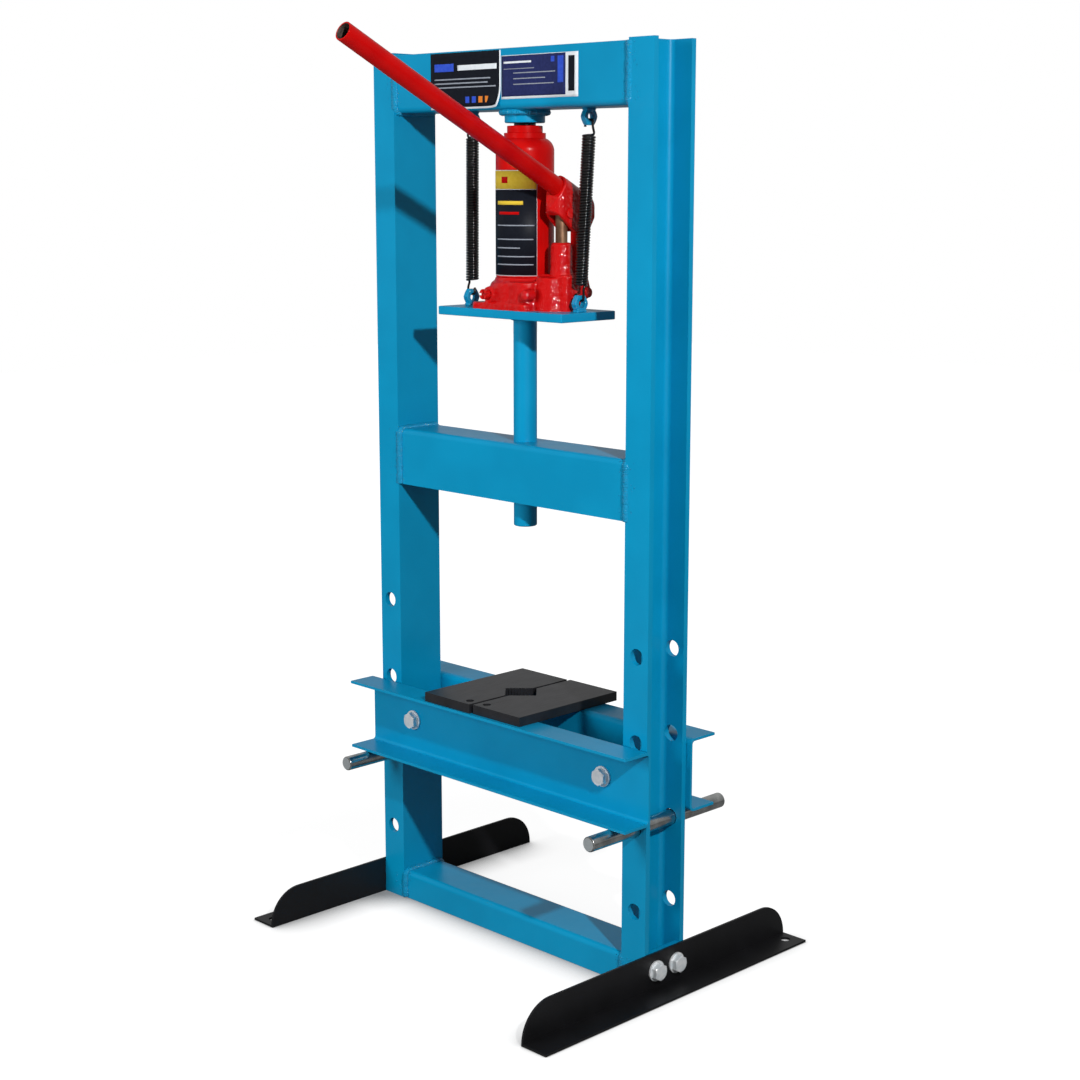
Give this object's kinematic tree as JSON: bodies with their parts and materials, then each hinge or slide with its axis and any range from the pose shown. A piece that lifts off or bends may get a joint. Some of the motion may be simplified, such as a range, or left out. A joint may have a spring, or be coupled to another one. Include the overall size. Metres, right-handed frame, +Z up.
{
  "type": "hydraulic workshop press",
  "caption": "Bench-height workshop press: welded H frame on angle feet, pinned height-adjustable bed with two notched plates, bottle jack pressing a guided ram, pulled back by two springs.",
  "frame": {"origin": "on the floor at the middle of the frame, halfway between the two floor bolt holes; the ram's axis stands over it", "axes": "+Z up; +X to the right seen from the front, along the beams; -Y to the front, where the handle points"},
  "size_m": [0.4798, 0.4941, 0.9676],
  "materials": {
    "blue_paint": "gloss",
    "black_paint": "satin",
    "zinc_plate": "satin",
    "spring_steel": "satin",
    "ground_steel": "polished",
    "dark_steel": "satin",
    "red_paint": "gloss",
    "rubber": "matt"
  },
  "bodies": {
    "frame": {"leg_left": "blue_paint", "leg_right": "blue_paint", "top_beam": "blue_paint", "middle_beam": "blue_paint", "bottom_beam": "blue_paint", "ram_guide": "blue_paint", "saddle_pad": "blue_paint", "upper_spring_eyes": "blue_paint", "foot_left": "black_paint", "foot_right": "black_paint", "foot_plates": "blue_paint", "foot_bolts": "zinc_plate", "foot_washers": "zinc_plate", "foot_nuts": "zinc_plate", "return_spring_left": "spring_steel", "return_spring_right": "spring_steel", "jack_ram": "ground_steel", "jack_screw": "dark_steel"},
    "ram_carriage": {"ram_plate": "blue_paint", "ram_rod": "blue_paint", "lower_spring_eyes": "blue_paint", "jack_base": "red_paint", "jack_tank": "red_paint", "jack_cylinder": "ground_steel", "jack_cap": "red_paint", "filler_plug": "rubber", "pump_cylinder": "red_paint", "link_pin": "red_paint"},
    "release_valve": {"release_valve": "red_paint"},
    "pump_link": {"pump_link": "red_paint"},
    "lever": {"handle_socket": "red_paint", "fulcrum_pin": "red_paint", "piston_pin": "red_paint"},
    "handle": {"handle": "red_paint"},
    "pump_piston": {"pump_piston": "ground_steel"},
    "bed": {"bed_channel_front": "blue_paint", "bed_channel_rear": "blue_paint", "bed_spacers": "blue_paint", "bed_bolts": "zinc_plate", "bed_washers": "zinc_plate", "bed_nuts": "zinc_plate"},
    "arbor_left": {"arbor_plate_left": "dark_steel"},
    "arbor_right": {"arbor_plate_right": "dark_steel"},
    "pin_left": {"bed_pin_left": "ground_steel"},
    "pin_right": {"bed_pin_right": "ground_steel"}
  },
  "joints": [
    {"name": "ram_stroke", "type": "slide", "parent": "frame", "child": "ram_carriage", "axis": [0, 0, -1], "range_m": [0, 0.098], "stiffness_N_per_m": 9000, "springref_m": -0.012, "deforming": ["return_spring_left", "return_spring_right"]},
    {"name": "release_turn", "type": "hinge", "parent": "ram_carriage", "child": "release_valve", "pos_m": [-0.019, -0.037, 0.7085], "axis": [0, -1, 0], "range_deg": [0, 180]},
    {"name": "link_swing", "type": "hinge", "parent": "ram_carriage", "child": "pump_link", "pos_m": [0.0535, 0.0264, 0.711], "axis": [1, 0, 0], "range_deg": [-0.6, 2.7]},
    {"name": "lever_swing", "type": "hinge", "parent": "pump_link", "child": "lever", "pos_m": [0.0535, 0.0264, 0.794], "axis": [1, 0, 0], "range_deg": [-6, 28]},
    {"name": "piston_travel", "type": "slide", "parent": "ram_carriage", "child": "pump_piston", "axis": [0, 0, 1], "range_m": [-0.0135, 0.0029]},
    {"name": "handle_pull", "type": "slide", "parent": "lever", "child": "handle", "axis": [0, -0.891, 0.454], "range_m": [0, 0.025]},
    {"name": "bed_lift", "type": "slide", "parent": "frame", "child": "bed", "axis": [0, 0, 1], "range_m": [0, 0.09]},
    {"name": "arbor_left_slide", "type": "slide", "parent": "bed", "child": "arbor_left", "axis": [-1, 0, 0], "range_m": [0, 0.04]},
    {"name": "arbor_right_slide", "type": "slide", "parent": "bed", "child": "arbor_right", "axis": [1, 0, 0], "range_m": [0, 0.04]},
    {"name": "pin_left_draw", "type": "slide", "parent": "frame", "child": "pin_left", "axis": [0, -1, 0], "range_m": [0, 0.13]},
    {"name": "pin_right_draw", "type": "slide", "parent": "frame", "child": "pin_right", "axis": [0, -1, 0], "range_m": [0, 0.13]}
  ],
  "couplings": [
    {"joint": "link_swing", "follows": "lever_swing", "ratio": 0.094},
    {"joint": "piston_travel", "follows": "lever_swing", "m_per_rad": -0.02744}
  ]
}
